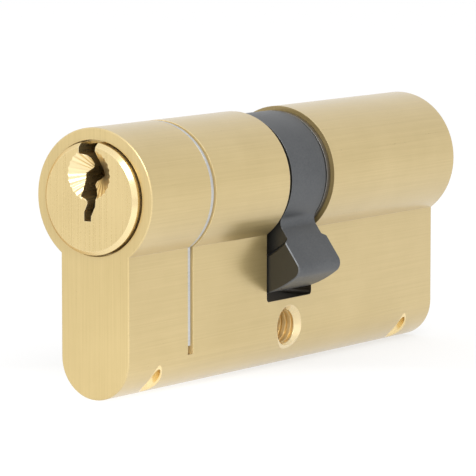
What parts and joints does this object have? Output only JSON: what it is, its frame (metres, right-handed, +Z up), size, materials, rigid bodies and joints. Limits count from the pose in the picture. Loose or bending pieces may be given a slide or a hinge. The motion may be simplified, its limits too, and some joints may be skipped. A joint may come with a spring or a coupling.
{
  "type": "door lock cylinder",
  "caption": "Euro-profile double door lock cylinder in brass: keyhole-shaped body, key plug at each end, steel cam in the middle gap, guard plate in a cut, threaded screw hole.",
  "frame": {"origin": "middle of the fixing-screw hole, on its axis", "axes": "+X along the length away from the pictured key end, +Y along the screw hole, +Z up to the plug axis"},
  "size_m": [0.0722, 0.0182, 0.033],
  "materials": {
    "body_brass": "satin brushed",
    "plug_brass": "turned satin",
    "pin_brass": "turned",
    "cam_steel": "dark satin, sintered",
    "plate_steel": "ground",
    "clip_steel": "phosphated",
    "clutch_steel": "sintered",
    "spring_steel": "drawn wire",
    "driver_steel": "turned",
    "drill_steel": "hardened"
  },
  "bodies": {
    "cylinder_body": {"body": "body_brass", "snap_guard_plate": "plate_steel", "outer_chamber_caps": "pin_brass", "outer_drill_pins": "drill_steel", "outer_pin_spring_1": "spring_steel", "outer_pin_spring_2": "spring_steel", "outer_pin_spring_3": "spring_steel", "outer_pin_spring_4": "spring_steel", "outer_pin_spring_5": "spring_steel", "outer_pin_spring_6": "spring_steel", "inner_chamber_caps": "pin_brass", "inner_drill_pins": "drill_steel", "inner_pin_spring_1": "spring_steel", "inner_pin_spring_2": "spring_steel", "inner_pin_spring_3": "spring_steel", "inner_pin_spring_4": "spring_steel", "inner_pin_spring_5": "spring_steel", "inner_pin_spring_6": "spring_steel"},
    "outer_plug": {"outer_plug": "plug_brass", "outer_circlip": "clip_steel"},
    "inner_plug": {"inner_plug": "plug_brass", "inner_circlip": "clip_steel"},
    "cam": {"cam": "cam_steel"},
    "outer_clutch_dog": {"outer_clutch_dog": "clutch_steel", "clutch_spring": "spring_steel"},
    "inner_clutch_dog": {"inner_clutch_dog": "clutch_steel"},
    "outer_key_pin_1": {"outer_key_pin_1": "pin_brass"},
    "outer_driver_pin_1": {"outer_driver_pin_1": "driver_steel"},
    "outer_key_pin_2": {"outer_key_pin_2": "pin_brass"},
    "outer_driver_pin_2": {"outer_driver_pin_2": "driver_steel"},
    "outer_key_pin_3": {"outer_key_pin_3": "pin_brass"},
    "outer_driver_pin_3": {"outer_driver_pin_3": "driver_steel"},
    "outer_key_pin_4": {"outer_key_pin_4": "pin_brass"},
    "outer_driver_pin_4": {"outer_driver_pin_4": "driver_steel"},
    "outer_key_pin_5": {"outer_key_pin_5": "pin_brass"},
    "outer_driver_pin_5": {"outer_driver_pin_5": "driver_steel"},
    "outer_key_pin_6": {"outer_key_pin_6": "pin_brass"},
    "outer_driver_pin_6": {"outer_driver_pin_6": "driver_steel"},
    "inner_key_pin_1": {"inner_key_pin_1": "pin_brass"},
    "inner_driver_pin_1": {"inner_driver_pin_1": "driver_steel"},
    "inner_key_pin_2": {"inner_key_pin_2": "pin_brass"},
    "inner_driver_pin_2": {"inner_driver_pin_2": "driver_steel"},
    "inner_key_pin_3": {"inner_key_pin_3": "pin_brass"},
    "inner_driver_pin_3": {"inner_driver_pin_3": "driver_steel"},
    "inner_key_pin_4": {"inner_key_pin_4": "pin_brass"},
    "inner_driver_pin_4": {"inner_driver_pin_4": "driver_steel"},
    "inner_key_pin_5": {"inner_key_pin_5": "pin_brass"},
    "inner_driver_pin_5": {"inner_driver_pin_5": "driver_steel"},
    "inner_key_pin_6": {"inner_key_pin_6": "pin_brass"},
    "inner_driver_pin_6": {"inner_driver_pin_6": "driver_steel"}
  },
  "joints": [
    {"name": "outer_plug_turn", "type": "hinge", "parent": "cylinder_body", "child": "outer_plug", "pos_m": [0, 0, 0.0192], "axis": [1, 0, 0], "continuous": true},
    {"name": "inner_plug_turn", "type": "hinge", "parent": "cylinder_body", "child": "inner_plug", "pos_m": [0, 0, 0.0192], "axis": [1, 0, 0], "continuous": true},
    {"name": "cam_turn", "type": "hinge", "parent": "cylinder_body", "child": "cam", "pos_m": [0, 0, 0.0192], "axis": [1, 0, 0], "continuous": true},
    {"name": "outer_dog_slide", "type": "slide", "parent": "outer_plug", "child": "outer_clutch_dog", "axis": [1, 0, 0], "range_m": [-0.0016, 0]},
    {"name": "inner_dog_slide", "type": "slide", "parent": "inner_plug", "child": "inner_clutch_dog", "axis": [1, 0, 0], "range_m": [-0.0016, 0]},
    {"name": "outer_key_pin_1_slide", "type": "slide", "parent": "outer_plug", "child": "outer_key_pin_1", "axis": [0, 0, 1], "range_m": [0, 0.00266]},
    {"name": "outer_driver_pin_1_slide", "type": "slide", "parent": "cylinder_body", "child": "outer_driver_pin_1", "axis": [0, 0, 1], "range_m": [-0.0025, 0], "stiffness_N_per_m": 150, "springref_m": 0.004, "deforming": ["outer_pin_spring_1"]},
    {"name": "outer_key_pin_2_slide", "type": "slide", "parent": "outer_plug", "child": "outer_key_pin_2", "axis": [0, 0, 1], "range_m": [0, 0.00186]},
    {"name": "outer_driver_pin_2_slide", "type": "slide", "parent": "cylinder_body", "child": "outer_driver_pin_2", "axis": [0, 0, 1], "range_m": [-0.0025, 0], "stiffness_N_per_m": 150, "springref_m": 0.004, "deforming": ["outer_pin_spring_2"]},
    {"name": "outer_key_pin_3_slide", "type": "slide", "parent": "outer_plug", "child": "outer_key_pin_3", "axis": [0, 0, 1], "range_m": [0, 0.00306]},
    {"name": "outer_driver_pin_3_slide", "type": "slide", "parent": "cylinder_body", "child": "outer_driver_pin_3", "axis": [0, 0, 1], "range_m": [-0.0025, 0], "stiffness_N_per_m": 150, "springref_m": 0.004, "deforming": ["outer_pin_spring_3"]},
    {"name": "outer_key_pin_4_slide", "type": "slide", "parent": "outer_plug", "child": "outer_key_pin_4", "axis": [0, 0, 1], "range_m": [0, 0.00226]},
    {"name": "outer_driver_pin_4_slide", "type": "slide", "parent": "cylinder_body", "child": "outer_driver_pin_4", "axis": [0, 0, 1], "range_m": [-0.0025, 0], "stiffness_N_per_m": 150, "springref_m": 0.004, "deforming": ["outer_pin_spring_4"]},
    {"name": "outer_key_pin_5_slide", "type": "slide", "parent": "outer_plug", "child": "outer_key_pin_5", "axis": [0, 0, 1], "range_m": [0, 0.00146]},
    {"name": "outer_driver_pin_5_slide", "type": "slide", "parent": "cylinder_body", "child": "outer_driver_pin_5", "axis": [0, 0, 1], "range_m": [-0.0025, 0], "stiffness_N_per_m": 150, "springref_m": 0.004, "deforming": ["outer_pin_spring_5"]},
    {"name": "outer_key_pin_6_slide", "type": "slide", "parent": "outer_plug", "child": "outer_key_pin_6", "axis": [0, 0, 1], "range_m": [0, 0.00286]},
    {"name": "outer_driver_pin_6_slide", "type": "slide", "parent": "cylinder_body", "child": "outer_driver_pin_6", "axis": [0, 0, 1], "range_m": [-0.0025, 0], "stiffness_N_per_m": 150, "springref_m": 0.004, "deforming": ["outer_pin_spring_6"]},
    {"name": "inner_key_pin_1_slide", "type": "slide", "parent": "inner_plug", "child": "inner_key_pin_1", "axis": [0, 0, 1], "range_m": [0, 0.00266]},
    {"name": "inner_driver_pin_1_slide", "type": "slide", "parent": "cylinder_body", "child": "inner_driver_pin_1", "axis": [0, 0, 1], "range_m": [-0.0025, 0], "stiffness_N_per_m": 150, "springref_m": 0.004, "deforming": ["inner_pin_spring_1"]},
    {"name": "inner_key_pin_2_slide", "type": "slide", "parent": "inner_plug", "child": "inner_key_pin_2", "axis": [0, 0, 1], "range_m": [0, 0.00186]},
    {"name": "inner_driver_pin_2_slide", "type": "slide", "parent": "cylinder_body", "child": "inner_driver_pin_2", "axis": [0, 0, 1], "range_m": [-0.0025, 0], "stiffness_N_per_m": 150, "springref_m": 0.004, "deforming": ["inner_pin_spring_2"]},
    {"name": "inner_key_pin_3_slide", "type": "slide", "parent": "inner_plug", "child": "inner_key_pin_3", "axis": [0, 0, 1], "range_m": [0, 0.00306]},
    {"name": "inner_driver_pin_3_slide", "type": "slide", "parent": "cylinder_body", "child": "inner_driver_pin_3", "axis": [0, 0, 1], "range_m": [-0.0025, 0], "stiffness_N_per_m": 150, "springref_m": 0.004, "deforming": ["inner_pin_spring_3"]},
    {"name": "inner_key_pin_4_slide", "type": "slide", "parent": "inner_plug", "child": "inner_key_pin_4", "axis": [0, 0, 1], "range_m": [0, 0.00226]},
    {"name": "inner_driver_pin_4_slide", "type": "slide", "parent": "cylinder_body", "child": "inner_driver_pin_4", "axis": [0, 0, 1], "range_m": [-0.0025, 0], "stiffness_N_per_m": 150, "springref_m": 0.004, "deforming": ["inner_pin_spring_4"]},
    {"name": "inner_key_pin_5_slide", "type": "slide", "parent": "inner_plug", "child": "inner_key_pin_5", "axis": [0, 0, 1], "range_m": [0, 0.00146]},
    {"name": "inner_driver_pin_5_slide", "type": "slide", "parent": "cylinder_body", "child": "inner_driver_pin_5", "axis": [0, 0, 1], "range_m": [-0.0025, 0], "stiffness_N_per_m": 150, "springref_m": 0.004, "deforming": ["inner_pin_spring_5"]},
    {"name": "inner_key_pin_6_slide", "type": "slide", "parent": "inner_plug", "child": "inner_key_pin_6", "axis": [0, 0, 1], "range_m": [0, 0.00286]},
    {"name": "inner_driver_pin_6_slide", "type": "slide", "parent": "cylinder_body", "child": "inner_driver_pin_6", "axis": [0, 0, 1], "range_m": [-0.0025, 0], "stiffness_N_per_m": 150, "springref_m": 0.004, "deforming": ["inner_pin_spring_6"]}
  ],
  "couplings": [
    {"joint": "cam_turn", "follows": "outer_plug_turn", "ratio": 1},
    {"joint": "inner_dog_slide", "follows": "outer_dog_slide", "ratio": 1}
  ]
}
